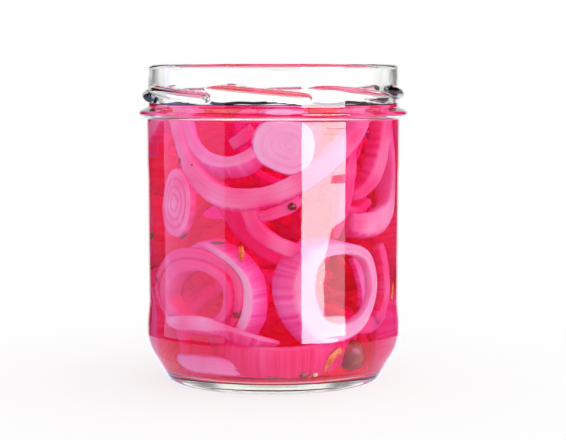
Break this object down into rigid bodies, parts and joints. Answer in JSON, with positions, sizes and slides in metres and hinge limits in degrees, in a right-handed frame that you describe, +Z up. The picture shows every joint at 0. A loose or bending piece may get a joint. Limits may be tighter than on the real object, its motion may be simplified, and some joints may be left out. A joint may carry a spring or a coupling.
{
  "type": "jar of pickled red onions",
  "caption": "Open straight-sided glass preserving jar with thread lugs and a bead, filled with pickled red onions in brine.",
  "frame": {"origin": "middle of the foot, on the plane the jar stands on", "axes": "+Z up along the jar's axis; the side seen from the front faces -Y, with +X to its right"},
  "size_m": [0.0848, 0.0848, 0.0995],
  "materials": {
    "clear_glass": "smooth polished",
    "onion_brine": "translucent pink liquid with onion slices"
  },
  "bodies": {
    "root": {"jar": "clear_glass", "brine": "onion_brine"}
  },
  "joints": []
}
